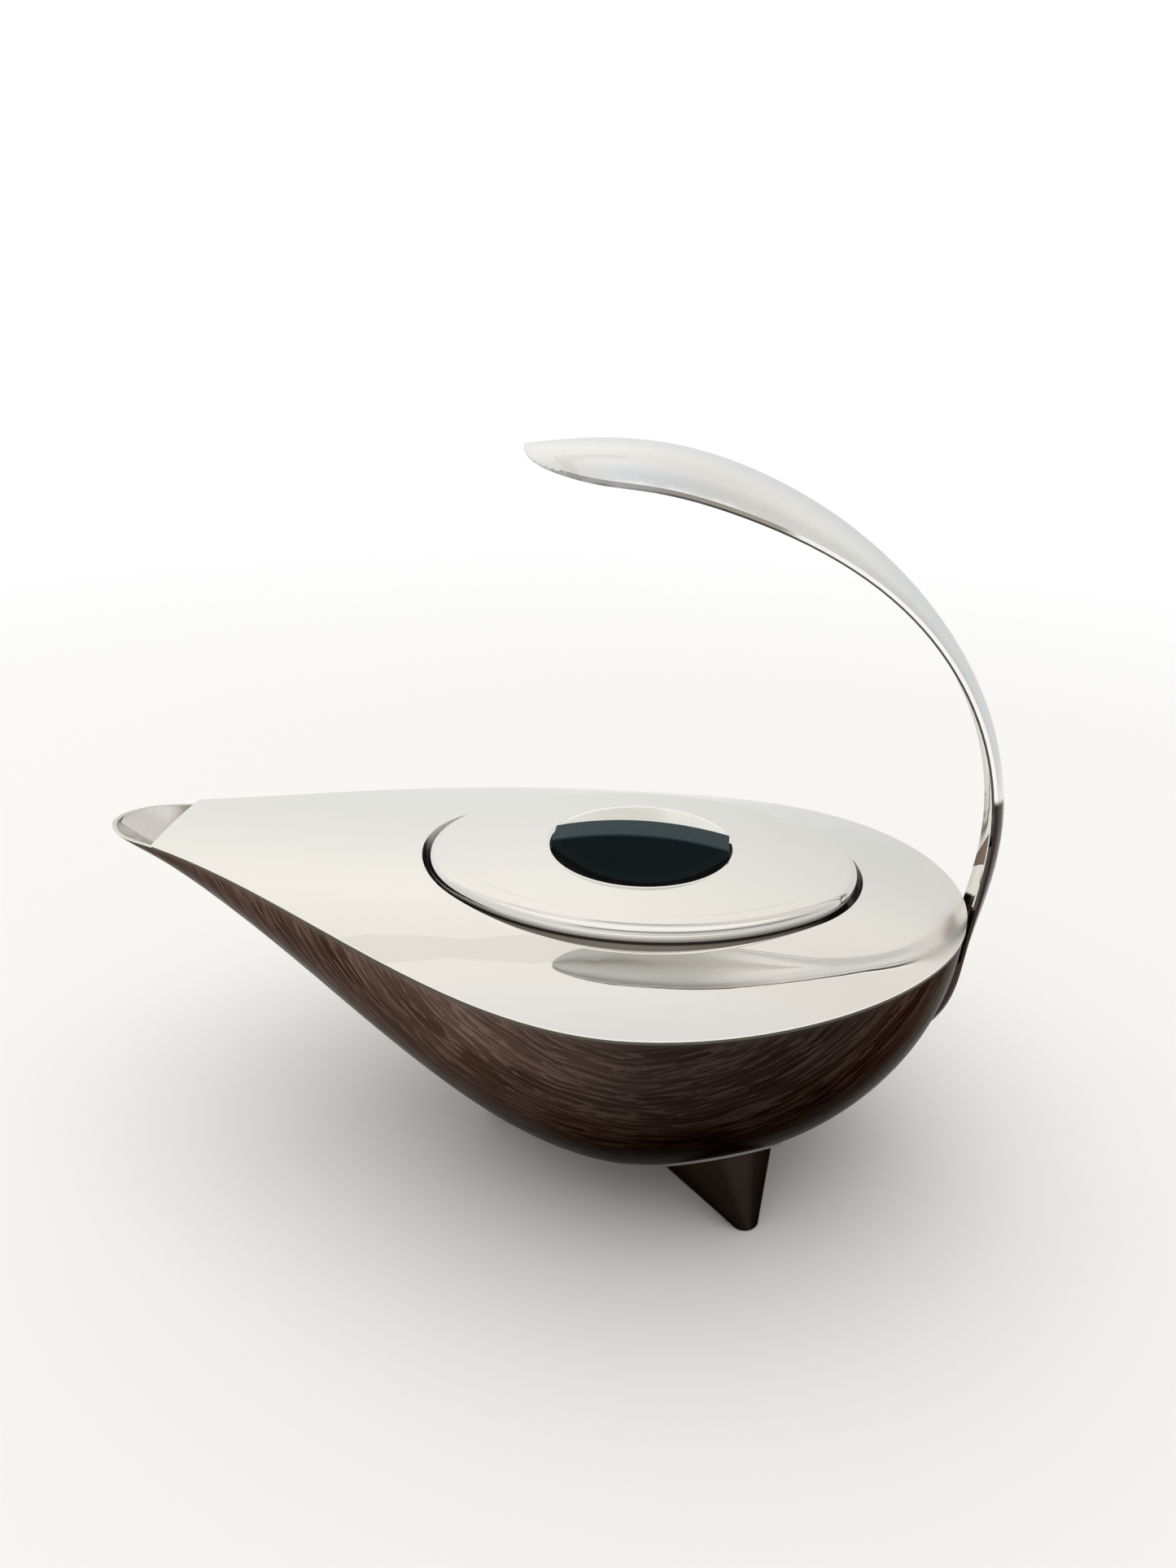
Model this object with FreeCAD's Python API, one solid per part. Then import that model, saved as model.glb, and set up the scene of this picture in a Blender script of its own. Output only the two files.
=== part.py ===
import FreeCAD, Part
import math
import os

# A silver teapot: a raised boat-shaped bowl with an open spout lip, a bent deck plate,
# an oval lift-off lid with a black finger fin, a leaf handle and three feet.
# Millimetres. While modelling, x = 0 is the middle of the lid, -X is the spout and z = 0 the table.

# Body outline
rear_length = 86.3
front_length = 149.4
half_width = 69.8
lip_nose_length = 9.4
lip_blunt = 0.25
lip_half_width = 12.3
taper_end_slope = 44.0

# Bowl
bowl_depth = 71.4
bowl_wall = 1.2
lip_depth = 1.6
keel_end_slope = 80.0
bowl_section_power = 2.06
lip_section_power = 1.35
bowl_clearance = 4.9
rim_margin = 0.6
trim_height = 12.0
section_steps = 12

# Deck plate, a sheet bent across the body
deck_thickness = 1.2
deck_arch_radius = 229.0
deck_front_rise = 2.5
deck_rear_drop = 7.2
deck_overhang = 0.35
deck_front_edge = 131.4
sheet_margin = 20.0

# Lid and its seat
lid_half_length = 57.9
lid_half_width = 41.9
lid_end_radius = 33.0
lid_gap = 1.6
lid_dome_rise = 2.4
lid_thickness = 1.2
lid_bead_height = 5.3
lid_bead_width = 5.0
lid_bead_above_deck = 1.4
lid_skirt_inset = 2.0
lid_skirt_wall = 1.0
lid_skirt_depth = 4.0
collar_wall = 1.0
ledge_width = 8.0
ledge_thickness = 1.2

# Finger dish and fin
dish_radius = 25.5
dish_depth = 10.0
dish_wall = 1.0
dish_lip_above_lid = 0.35
dish_lip_width = 0.8
dish_lip_height = 1.6
fin_length = 47.4
fin_thickness = 10.0
fin_end_height = 2.0
fin_crown = 3.0
fin_edge_round = 0.6
screw_spacing = 18.0
screw_shank = 3.0
screw_head = 5.6
screw_head_height = 2.0
screw_bite = 6.0
screw_fit = 0.1
screw_slot = 0.8
washer_diameter = 8.0
washer_thickness = 1.0

# Handle leaf
handle_rear = 93.2
handle_bend_height = 103.0
handle_top = 197.5
handle_crest = 8.0
handle_tip = 31.5
handle_tip_droop = 1.9
handle_root_height = 46.0
handle_root_stand = 4.2
handle_root_bite = 0.6
handle_root_flare = 0.45
handle_bow_power = 1.83
handle_thickness = 2.1
handle_edge_bevel = 0.3
leaf_half_width = 18.0
leaf_start = 0.25
leaf_widest = 0.88
stem_half_width = 5.8
leaf_tip_half_width = 4.0
leaf_taper_power = 1.6
leaf_point_power = 0.8
leaf_tip_power = 8.0
leaf_tip_thinning = 0.5
leaf_half_angle = 46.0
root_half_angle = 8.0
root_blend = 0.9

# Feet
foot_spread_x = 33.6
foot_spread_y = 38.5
foot_front_x = 40.0
foot_lean = 13.5
foot_inset = 3.0
foot_root_length = 38.0
foot_root_width = 20.0
foot_root_height = 26.0
foot_overlap = 1.5
foot_tip_radius = 3.4
foot_tip_round = 1.2
foot_plate_thickness = 0.5
foot_plate_margin = 2.5

# Spout strainer
strainer_place = 100.0
strainer_thickness = 1.0
strainer_hole = 4.0
strainer_pitch = 8.0
strainer_fill = 0.9

V = FreeCAD.Vector
X_AXIS = V(1, 0, 0)
Y_AXIS = V(0, 1, 0)
Z_AXIS = V(0, 0, 1)
BIG = 400.0
CUT_MARGIN = 1.0

# Places of the sections that the lofts run through, as shares of each length
BOWL_STATIONS = (0.0, 0.13, 0.27, 0.41, 0.55, 0.68, 0.79, 0.88, 0.94)
NOSE_STATIONS = (0.4, 0.13)
SHEET_STATIONS = (-1.04, -0.8, -0.55, -0.3, 0.0, 0.3, 0.6, 0.85, 1.1)
DECK_STATIONS = (1.0, 0.8, 0.6, 0.4, 0.2, 0.0)
HANDLE_STATIONS = (-1.0, -0.6, -0.28, 0.0, 0.22, 0.42, 0.6, 0.77, 0.92, 1.2, 1.5, 1.78, 1.93, 1.98)

# Heights that follow from the driving sizes
rim_height = bowl_clearance + bowl_depth
arch_drop = deck_arch_radius - math.sqrt(deck_arch_radius ** 2 - half_width ** 2)
crown_height = rim_height + deck_thickness + arch_drop
rear_rise = max(0.0, arch_drop - deck_rear_drop)
lid_top = crown_height + lid_bead_above_deck
bead_bottom = lid_top - lid_bead_height
bead_radius = lid_bead_height / 2
lid_reach = lid_half_width - lid_bead_width
lid_edge_slope = lid_dome_rise * (1 / lid_reach + 1 / (lid_half_length - lid_bead_width))
bead_shoulder = lid_bead_width - bead_radius * (1 - math.sin(lid_edge_slope))
shoulder_height = bead_bottom + bead_radius * (1 + math.cos(lid_edge_slope))
plate_edge = shoulder_height + bead_shoulder * math.tan(lid_edge_slope)
ledge_top = bead_bottom - lid_skirt_depth
dish_lip = plate_edge + lid_dome_rise * (1 - (dish_radius / lid_reach) ** 2) + dish_lip_above_lid
dish_edge = dish_radius - dish_lip_width
dish_sphere = (dish_edge ** 2 + dish_depth ** 2) / (2 * dish_depth)
dish_centre = dish_lip - dish_depth + dish_sphere
screw_places = (-screw_spacing / 2, screw_spacing / 2)
washer_reach = screw_spacing / 2 - washer_diameter / 2
washer_bottom = dish_centre - math.sqrt((dish_sphere + dish_wall) ** 2 - washer_reach ** 2) - washer_thickness
screw_length = washer_thickness + dish_wall + screw_bite


def hermite(s, start, end, end_slope):
    """Level start at s = 0, then a fall to the end value with a given last slope."""
    ease = 3 * s ** 2 - 2 * s ** 3
    return start * (1 - ease) + end * ease + end_slope * (s ** 2 - s ** 3)


def crown(x):
    """Height of the deck's upper face on the centre line."""
    if x < 0:
        return crown_height + deck_front_rise * (x / front_length) ** 2
    return crown_height - deck_rear_drop * (x / rear_length) ** 3


def deck_top(x, y):
    drop = deck_arch_radius - math.sqrt(deck_arch_radius ** 2 - y ** 2)
    return crown(x) - drop


def plan_half_width(x, inset):
    """Half the body's width at x, with a round nose at the lip."""
    nose_start = front_length - lip_nose_length
    share = -x / nose_start
    taper = hermite(share, half_width, lip_half_width, taper_end_slope)
    into_nose = max(0.0, -x - nose_start) / (lip_nose_length - inset)
    return (taper - inset) * math.sqrt(max(0.0, 1 - into_nose ** 2))


def keel_depth(x, inset):
    return hermite(-x / front_length, bowl_depth, lip_depth, keel_end_slope) - inset


def section_curve(x, inset):
    """Bowl's section at x, from above the near rim under the keel to above the far rim."""
    share = -x / front_length
    above_rim = rim_margin + rear_rise * (1 - share) ** 2
    w = plan_half_width(x, inset)
    k = keel_depth(x, inset) + above_rim
    power = bowl_section_power + (lip_section_power - bowl_section_power) * share
    top = deck_top(x, plan_half_width(x, 0)) - deck_thickness + above_rim
    points = []
    params = []
    for i in range(section_steps + 1):
        turn = math.pi * i / section_steps
        across = -math.copysign(abs(math.cos(turn)) ** (2 / power), math.cos(turn))
        down = abs(math.sin(turn)) ** (2 / power)
        points.append(V(x, w * across, top - k * down))
        params.append(i / section_steps)
    curve = Part.BSplineCurve()
    curve.interpolate(Points=points, Parameters=params)
    return curve


def closed_section(x, inset, head_room):
    """Bowl section closed above the rim, so that the deck can trim it."""
    low = section_curve(x, inset).toShape()
    near = low.Vertexes[0].Point
    far = low.Vertexes[-1].Point
    near_top = near + Z_AXIS * head_room
    far_top = far + Z_AXIS * head_room
    return Part.Wire([
        low,
        Part.makeLine(far, far_top),
        Part.makeLine(far_top, near_top),
        Part.makeLine(near_top, near),
    ])


def bowl_solid(inset):
    """The bowl as a full solid, taller than its rim: a lofted front and a stretched half turn behind."""
    head_room = trim_height + inset
    tip = front_length - inset
    places = [-share * front_length for share in BOWL_STATIONS]
    places += [share * lip_nose_length - tip for share in NOSE_STATIONS]
    places.append(lip_blunt - tip)
    front = Part.makeLoft([closed_section(x, inset, head_room) for x in places], True, False)
    low = section_curve(0.0, inset)
    middle = 0.5 * (low.FirstParameter + low.LastParameter)
    half = low.copy()
    half.segment(middle, low.LastParameter)
    keel = half.StartPoint
    rim = half.EndPoint
    top = rim + Z_AXIS * head_room
    axis_top = V(0, 0, top.z)
    wire = Part.Wire([
        half.toShape(),
        Part.makeLine(rim, top),
        Part.makeLine(top, axis_top),
        Part.makeLine(axis_top, keel),
    ])
    turned = Part.Face(wire).revolve(V(0, 0, 0), Z_AXIS, -180)
    stretch = FreeCAD.Matrix()
    stretch.A11 = (rear_length - inset) / (half_width - inset)
    rear = turned.transformGeometry(stretch)
    return front.fuse(rear)


def bowl_back(z):
    """How far behind the middle the bowl's back lies at height z."""
    above_rim = rim_margin + rear_rise
    down = (rim_height + above_rim - z) / (bowl_depth + above_rim)
    return rear_length * (1 - down ** bowl_section_power) ** (1 / bowl_section_power)


def bent_sheet(lower, upper):
    """A sheet bent like the deck, between two levels measured from the deck's upper face."""
    reach = half_width + sheet_margin
    wires = []
    for share in SHEET_STATIONS:
        x = share * (front_length if share < 0 else rear_length)
        drop = deck_top(x, reach) - crown(x)
        level = crown(x)
        low_arc = Part.Arc(V(x, -reach, level + drop + lower), V(x, 0, level + lower),
                           V(x, reach, level + drop + lower)).toShape()
        high_arc = Part.Arc(V(x, -reach, level + drop + upper), V(x, 0, level + upper),
                            V(x, reach, level + drop + upper)).toShape()
        wires.append(Part.Wire([
            low_arc,
            Part.makeLine(low_arc.Vertexes[-1].Point, high_arc.Vertexes[-1].Point),
            high_arc,
            Part.makeLine(high_arc.Vertexes[0].Point, low_arc.Vertexes[0].Point),
        ]))
    return Part.makeLoft(wires, True, False)


def oval_arcs():
    """The lid's oval as four tangent arcs: centre, radius, first angle and sweep of each."""
    end_centre = lid_half_length - lid_end_radius
    side_radius = ((end_centre ** 2 + lid_half_width ** 2 - lid_end_radius ** 2)
                   / (2 * (lid_half_width - lid_end_radius)))
    side_centre = side_radius - lid_half_width
    join = math.atan2(side_centre, end_centre)
    return (
        (V(end_centre, 0, 0), lid_end_radius, -join, 2 * join),
        (V(0, -side_centre, 0), side_radius, join, math.pi - 2 * join),
        (V(-end_centre, 0, 0), lid_end_radius, math.pi - join, 2 * join),
        (V(0, side_centre, 0), side_radius, math.pi + join, math.pi - 2 * join),
    )


def oval_prism(outset, bottom, top):
    """Upright solid inside the lid's oval, moved out by outset all round."""
    edges = []
    for centre, radius, first, sweep in oval_arcs():
        points = []
        for share in (0.0, 0.5, 1.0):
            angle = first + share * sweep
            reach = V(math.cos(angle), math.sin(angle), 0) * (radius + outset)
            points.append(centre + reach + Z_AXIS * bottom)
        edges.append(Part.Arc(*points).toShape())
    return Part.Face(Part.Wire(edges)).extrude(Z_AXIS * (top - bottom))


def oval_ring(outset, wall, bottom, top):
    hollow = oval_prism(outset - wall, bottom - CUT_MARGIN, top + CUT_MARGIN)
    return oval_prism(outset, bottom, top).cut(hollow)


def deck_outline():
    """Plan of the deck plate: straight front edge, tapering sides and a half oval behind."""
    side = []
    for share in DECK_STATIONS:
        x = -share * deck_front_edge
        side.append(V(x, plan_half_width(x, 0) + deck_overhang, 0))
    far = Part.BSplineCurve()
    far.interpolate(Points=side)
    near = Part.BSplineCurve()
    near.interpolate(Points=[V(p.x, -p.y, 0) for p in side])
    oval = Part.Ellipse(V(0, 0, 0), rear_length + deck_overhang, half_width + deck_overhang)
    rear = Part.ArcOfEllipse(oval, -math.pi / 2, math.pi / 2)
    return Part.Wire(Part.__sortEdges__([
        Part.makeLine(V(side[0].x, -side[0].y, 0), side[0]),
        far.toShape(),
        rear.toShape(),
        near.toShape(),
    ]))


def handle_point(q):
    """Crown line of the handle from its root, q = 0, over the bow, q = 1, to the tip, q = 2."""
    if q < 0:
        root_inset = handle_rear - bowl_back(handle_root_height) - handle_root_stand
        return V(handle_rear - root_inset * q ** 2, 0,
                 handle_bend_height + (handle_bend_height - handle_root_height) * q)
    if q <= 1:
        turn = q * math.pi / 2
        along = math.cos(turn) ** (2 / handle_bow_power)
        up = math.sin(turn) ** (2 / handle_bow_power)
        return V(-handle_crest + (handle_rear + handle_crest) * along, 0,
                 handle_bend_height + (handle_top - handle_bend_height) * up)
    ahead = q - 1
    return V(-handle_crest - (handle_tip - handle_crest) * ahead, 0,
             handle_top - handle_tip_droop * ahead ** 2)


def leaf_half(q):
    """Half the strip's width: a slim stem that opens into a leaf with a rounded tip."""
    if q <= leaf_widest:
        rise = max(0.0, q - leaf_start) / (leaf_widest - leaf_start)
        return stem_half_width + (leaf_half_width - stem_half_width) * rise ** 2 * (3 - 2 * rise)
    past = (q - leaf_widest) / (2 - leaf_widest)
    point = (1 - past ** leaf_taper_power) ** leaf_point_power
    blunt = math.sqrt(1 - past ** leaf_tip_power)
    return (leaf_half_width - leaf_tip_half_width) * point + leaf_tip_half_width * blunt


def leaf_section(q):
    """Section of the handle: a strip with bevelled edges, rolled to an arc with its round side out."""
    crest = handle_point(q)
    step = 0.01
    along = (handle_point(q + step) - handle_point(q - step)).normalize()
    outward = Y_AXIS.cross(along)
    blend = min(1.0, (q + 1) / root_blend)
    turn = root_half_angle + (leaf_half_angle - root_half_angle) * blend ** 2 * (3 - 2 * blend)
    turn = math.radians(turn)
    radius = leaf_half(q) / math.sin(turn)
    past = max(0.0, (q - leaf_widest) / (2 - leaf_widest))
    thickness = handle_thickness * (1 - leaf_tip_thinning * past ** 4)
    flare = max(0.0, -q - handle_root_flare) / (1 - handle_root_flare)
    thickness += (handle_root_stand + handle_root_bite - handle_thickness) * flare ** 2
    inner = radius - thickness
    bevel = handle_edge_bevel * min(thickness, handle_thickness)
    edge = turn + bevel / radius
    centre = crest - outward * radius

    def on_arc(r, angle):
        return centre + outward * (r * math.cos(angle)) + Y_AXIS * (r * math.sin(angle))

    near = Part.Arc(on_arc(radius, 0), on_arc(radius, -turn / 2), on_arc(radius, -turn)).toShape()
    far = Part.Arc(on_arc(radius, turn), on_arc(radius, turn / 2), on_arc(radius, 0)).toShape()
    near_edge = Part.makePolygon([on_arc(radius, -turn), on_arc(radius - bevel, -edge),
                                  on_arc(inner + bevel, -edge), on_arc(inner, -turn)])
    under = Part.Arc(on_arc(inner, -turn), on_arc(inner, 0), on_arc(inner, turn)).toShape()
    far_edge = Part.makePolygon([on_arc(inner, turn), on_arc(inner + bevel, edge),
                                 on_arc(radius - bevel, edge), on_arc(radius, turn)])
    return Part.Wire([near, *near_edge.Edges, under, *far_edge.Edges, far])


def handle_leaf(bowl):
    strip = Part.makeLoft([leaf_section(q) for q in HANDLE_STATIONS], True, False)
    return strip.cut(bowl)


def thorn(tip, lean, margin):
    """A leaning cone on an oval root, from a small round pad up into the bowl."""
    rings = []
    for share in (0.0, foot_overlap):
        across = foot_tip_radius + share * (foot_root_width / 2 - foot_tip_radius) + margin
        along = foot_tip_radius + share * (foot_root_length / 2 - foot_tip_radius) + margin
        middle = tip + lean * share + Z_AXIS * (share * foot_root_height)
        rings.append(Part.Wire(Part.Ellipse(middle, along, across).toShape()))
    return Part.makeLoft(rings, True, True)


def foot(tip, lean, plated_bowl):
    """A thorn foot with a rounded pad, seated under its root plate."""
    body = thorn(tip, lean, 0.0)
    pad = [edge for edge in body.Edges if edge.BoundBox.ZMax < foot_tip_round / 2]
    return body.makeFillet(foot_tip_round, pad).cut(plated_bowl)


def foot_plate(tip, lean, plated_bowl, bowl):
    """Thin oval plate between a foot's root and the bowl, a little wider than the root."""
    return thorn(tip, lean, foot_plate_margin).common(plated_bowl).cut(bowl)


def lid_bead():
    """Rounded edge of the lid: a half-round wire whose shoulder runs on into the lid's slope."""
    middle = bead_bottom + bead_radius
    half_turn = (math.pi - lid_edge_slope) / 2
    pieces = []
    for centre, arc_radius, first, sweep in oval_arcs():
        def at(inset, z):
            return V(arc_radius - inset, 0, z)

        def on_round(turn):
            return at(bead_radius * (1 - math.sin(turn)), middle - bead_radius * math.cos(turn))

        low = on_round(0.0)
        shoulder = on_round(2 * half_turn)
        inner_top = at(lid_bead_width, plate_edge)
        inner_low = at(lid_bead_width, bead_bottom)
        face = Part.Face(Part.Wire([
            Part.Arc(low, on_round(half_turn), shoulder).toShape(),
            Part.makeLine(shoulder, inner_top),
            Part.makeLine(inner_top, inner_low),
            Part.makeLine(inner_low, low),
        ]))
        face.rotate(V(0, 0, 0), Z_AXIS, math.degrees(first))
        piece = face.revolve(V(0, 0, 0), Z_AXIS, math.degrees(sweep))
        piece.translate(centre)
        pieces.append(piece)
    return pieces[0].fuse(pieces[1:]).removeSplitter()


def lid_plate():
    """Gently domed oval plate inside the bead, pierced for the finger dish."""
    crest = V(0, 0, plate_edge + lid_dome_rise)
    edge_rise = lid_dome_rise * (lid_half_width / lid_reach) ** 2
    edge = crest + V(0, lid_half_width, -edge_rise)
    radius = (lid_half_width ** 2 + edge_rise ** 2) / (2 * edge_rise)
    half_way = math.asin(lid_half_width / radius) / 2
    between = crest + V(0, radius * math.sin(half_way), radius * (math.cos(half_way) - 1))
    top = Part.Arc(crest, between, edge).toShape()
    drop = Z_AXIS * -lid_thickness
    low = top.translated(drop)
    face = Part.Face(Part.Wire(Part.__sortEdges__([
        top,
        low,
        Part.makeLine(edge, edge + drop),
        Part.makeLine(crest, crest + drop),
    ])))
    stretch = FreeCAD.Matrix()
    stretch.A11 = (lid_half_length - lid_bead_width) / lid_reach
    dome = face.revolve(V(0, 0, 0), Z_AXIS, 360).transformGeometry(stretch)
    trimmed = dome.common(oval_prism(-lid_bead_width, 0, BIG))
    return trimmed.cut(Part.makeCylinder(dish_radius, BIG, V(0, 0, 0)))


def finger_dish():
    """Round hollow for thumb and finger, a spherical bowl with a narrow flat lip."""
    lip_bottom = dish_lip - dish_lip_height
    under_radius = dish_sphere + dish_wall
    under_edge = math.sqrt(under_radius ** 2 - (dish_centre - lip_bottom) ** 2)
    bottom = dish_centre - dish_sphere
    under = dish_centre - under_radius
    inner_edge = dish_radius - dish_lip_width

    def arc(radius, edge_r, edge_z, low_z):
        turn = math.asin(edge_r / radius) / 2
        middle = V(radius * math.sin(turn), 0, dish_centre - radius * math.cos(turn))
        return Part.Arc(V(0, 0, low_z), middle, V(edge_r, 0, edge_z)).toShape()

    face = Part.Face(Part.Wire(Part.__sortEdges__([
        arc(dish_sphere, inner_edge, dish_lip, bottom),
        Part.makeLine(V(inner_edge, 0, dish_lip), V(dish_radius, 0, dish_lip)),
        Part.makeLine(V(dish_radius, 0, dish_lip), V(dish_radius, 0, lip_bottom)),
        Part.makeLine(V(dish_radius, 0, lip_bottom), V(under_edge, 0, lip_bottom)),
        arc(under_radius, under_edge, lip_bottom, under),
        Part.makeLine(V(0, 0, under), V(0, 0, bottom)),
    ])))
    dish = face.revolve(V(0, 0, 0), Z_AXIS, 360)
    for x in screw_places:
        dish = dish.cut(Part.makeCylinder(screw_shank / 2 + screw_fit, BIG, V(x, 0, 0)))
    return dish


def knob_fin():
    """Black fin across the dish, arched on top and seated on the dish's bowl."""
    half = fin_length / 2
    end = dish_lip + fin_end_height
    bottom = dish_centre - dish_sphere - CUT_MARGIN
    top = Part.Arc(V(-half, 0, end), V(0, 0, end + fin_crown), V(half, 0, end)).toShape()
    face = Part.Face(Part.Wire([
        top,
        Part.makeLine(V(half, 0, end), V(half, 0, bottom)),
        Part.makeLine(V(half, 0, bottom), V(-half, 0, bottom)),
        Part.makeLine(V(-half, 0, bottom), V(-half, 0, end)),
    ]))
    face.translate(V(0, -fin_thickness / 2, 0))
    slab = face.extrude(Y_AXIS * fin_thickness)
    sharp = [edge for edge in slab.Edges if edge.BoundBox.ZMin > end - fin_end_height / 2]
    slab = slab.makeFillet(fin_edge_round, sharp)
    fin = slab.common(Part.makeSphere(dish_sphere, V(0, 0, dish_centre)))
    bore_top = washer_bottom + screw_length
    for x in screw_places:
        fin = fin.cut(Part.makeCylinder(screw_shank / 2 + screw_fit, bore_top - bottom, V(x, 0, bottom)))
    return fin


def knob_washers():
    """Shaped washers that give the screws a level seat under the curved dish."""
    under = Part.makeSphere(dish_sphere + dish_wall, V(0, 0, dish_centre))
    rings = []
    for x in screw_places:
        ring = Part.makeCylinder(washer_diameter / 2, dish_depth, V(x, 0, washer_bottom))
        ring = ring.cut(Part.makeCylinder(screw_shank / 2 + screw_fit, BIG, V(x, 0, 0)))
        rings.append(ring.cut(under))
    return Part.makeCompound(rings)


def knob_screws():
    screws = []
    head_bottom = washer_bottom - screw_head_height
    for x in screw_places:
        head = Part.makeCylinder(screw_head / 2, screw_head_height, V(x, 0, head_bottom))
        shank = Part.makeCylinder(screw_shank / 2, screw_length, V(x, 0, washer_bottom))
        slot = Part.makeBox(screw_head, screw_slot, screw_slot)
        slot.translate(V(x - screw_head / 2, -screw_slot / 2, head_bottom))
        screws.append(head.fuse(shank).cut(slot).removeSplitter())
    return Part.makeCompound(screws)


def spout_strainer(inside, below):
    """Pierced plate across the root of the spout, under the deck."""
    x = -strainer_place
    slab = Part.makeBox(strainer_thickness, BIG, BIG, V(x - strainer_thickness / 2, -BIG / 2, 0))
    plate = inside.common(slab).common(below)
    w = plan_half_width(x, bowl_wall) - strainer_hole
    k = keel_depth(x, bowl_wall) - strainer_hole
    rim = deck_top(x, plan_half_width(x, 0)) - deck_thickness
    rows = int(k / strainer_pitch) + 1
    columns = int(w / strainer_pitch) + 1
    for row in range(rows):
        down = row * strainer_pitch * math.sqrt(3) / 2 + strainer_hole
        for column in range(-columns, columns + 1):
            y = (column + 0.5 * (row % 2)) * strainer_pitch
            if (abs(y) / w) ** bowl_section_power + (down / k) ** bowl_section_power < strainer_fill:
                start = V(x - strainer_thickness, y, rim - down)
                hole = Part.makeCylinder(strainer_hole / 2, 2 * strainer_thickness, start, X_AXIS)
                plate = plate.cut(hole)
    return plate


# Bowl, deck and lid seat
bowl_outside = bowl_solid(0.0)
bowl_inside = bowl_solid(bowl_wall)
under_deck = bent_sheet(-BIG, -deck_thickness)
plated_bowl = bowl_solid(-foot_plate_thickness)
opening_outset = lid_gap + collar_wall
deck_prism = Part.Face(deck_outline()).extrude(Z_AXIS * BIG)
opening = oval_prism(opening_outset, 0, BIG)
collar = oval_ring(opening_outset, collar_wall, ledge_top, BIG)

# Places of the feet: where each tip stands, and how far its root leans in over the tip
feet = {
    "foot_front": (V(-foot_front_x, 0, 0), V(foot_lean, 0, 0)),
    "foot_left": (V(foot_spread_x, -foot_spread_y, 0), V(-foot_lean, foot_inset, 0)),
    "foot_right": (V(foot_spread_x, foot_spread_y, 0), V(-foot_lean, -foot_inset, 0)),
}

nodes = {
    "hull_shell": bowl_outside.common(under_deck).cut(bowl_inside),
    "deck_plate": bent_sheet(-deck_thickness, 0.0).common(deck_prism).cut(opening),
    "lid_collar": collar.common(bent_sheet(-BIG, 0.0)),
    "lid_ledge": oval_ring(opening_outset, ledge_width, ledge_top - ledge_thickness, ledge_top),
    "spout_strainer": spout_strainer(bowl_inside, under_deck),
    "handle_leaf": handle_leaf(bowl_outside),
    "lid_plate": lid_plate(),
    "lid_bead": lid_bead(),
    "lid_skirt": oval_ring(-lid_skirt_inset, lid_skirt_wall, ledge_top, bead_bottom),
    "finger_dish": finger_dish(),
    "knob_fin": knob_fin(),
    "knob_washers": knob_washers(),
    "knob_screws": knob_screws(),
}
for name, (tip, lean) in feet.items():
    nodes[name] = foot(tip, lean, plated_bowl)
    nodes[name + "_plate"] = foot_plate(tip, lean, plated_bowl, bowl_outside)

# The origin lies on the table, under the middle of the whole length from lip to handle
origin_shift = V((front_length - lip_blunt - handle_rear) / 2, 0, 0)
os.makedirs("parts", exist_ok=True)
for name, shape in nodes.items():
    shape.translate(origin_shift)
    shape.exportStep("parts/" + name + ".step")
    box = shape.BoundBox
    print(name, len(shape.Solids), shape.isValid(), round(shape.Volume),
          [round(v, 2) for v in (box.XMin, box.XMax, box.YMin, box.YMax, box.ZMin, box.ZMax)])
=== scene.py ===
import math
import bpy
from mathutils import Matrix, Vector

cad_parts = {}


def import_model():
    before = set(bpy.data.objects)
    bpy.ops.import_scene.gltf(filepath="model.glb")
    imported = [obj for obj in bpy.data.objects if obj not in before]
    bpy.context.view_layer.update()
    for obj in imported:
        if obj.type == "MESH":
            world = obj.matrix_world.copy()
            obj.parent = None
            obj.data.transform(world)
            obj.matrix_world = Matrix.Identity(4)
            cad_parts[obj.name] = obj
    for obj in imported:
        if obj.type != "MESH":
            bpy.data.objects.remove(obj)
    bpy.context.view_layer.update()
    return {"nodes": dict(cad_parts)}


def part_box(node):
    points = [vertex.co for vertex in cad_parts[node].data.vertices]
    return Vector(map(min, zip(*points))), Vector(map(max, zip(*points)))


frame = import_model()
nodes = frame["nodes"]

# Camera of the photograph: metres, degrees, pixels of the 1445 x 1927 picture, and a sensor in millimetres
PHOTO_HEIGHT = 1927
FOCAL_PIXELS = 1447.0
SENSOR = 36.0
CAMERA_PLACE = Vector((0.04527, -0.28741, 0.22940))
CAMERA_PITCH = math.radians(22.70)
CAMERA_YAW = math.radians(6.334)
CAMERA_ROLL = math.radians(0.846)
CAMERA_NEAREST = 0.01

# The bowl as an ellipsoid that tells its outside from its inside: its middle and half axes
DISH_LOW, DISH_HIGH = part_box("finger_dish")
HULL_LOW, HULL_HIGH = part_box("hull_shell")
BOWL_MIDDLE = Vector((0.5 * (DISH_LOW.x + DISH_HIGH.x), 0.0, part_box("deck_plate")[0].z))
BOWL_HALF_LENGTH = 0.115
BOWL_AXES = Vector((BOWL_HALF_LENGTH, HULL_HIGH.y, BOWL_MIDDLE.z - HULL_LOW.z))

# The finger dish's hollow is part of a ball: its depth, its edge without the flat lip, its curve and middle
DISH_LIP = 0.0008
DISH_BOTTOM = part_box("knob_fin")[0].z
DISH_DEPTH = DISH_HIGH.z - DISH_BOTTOM
DISH_EDGE = 0.5 * (DISH_HIGH.x - DISH_LOW.x) - DISH_LIP
DISH_CURVE = (DISH_EDGE ** 2 + DISH_DEPTH ** 2) / (2.0 * DISH_DEPTH)
DISH_CENTRE = Vector((BOWL_MIDDLE.x, 0.0, DISH_BOTTOM + DISH_CURVE))

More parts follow.
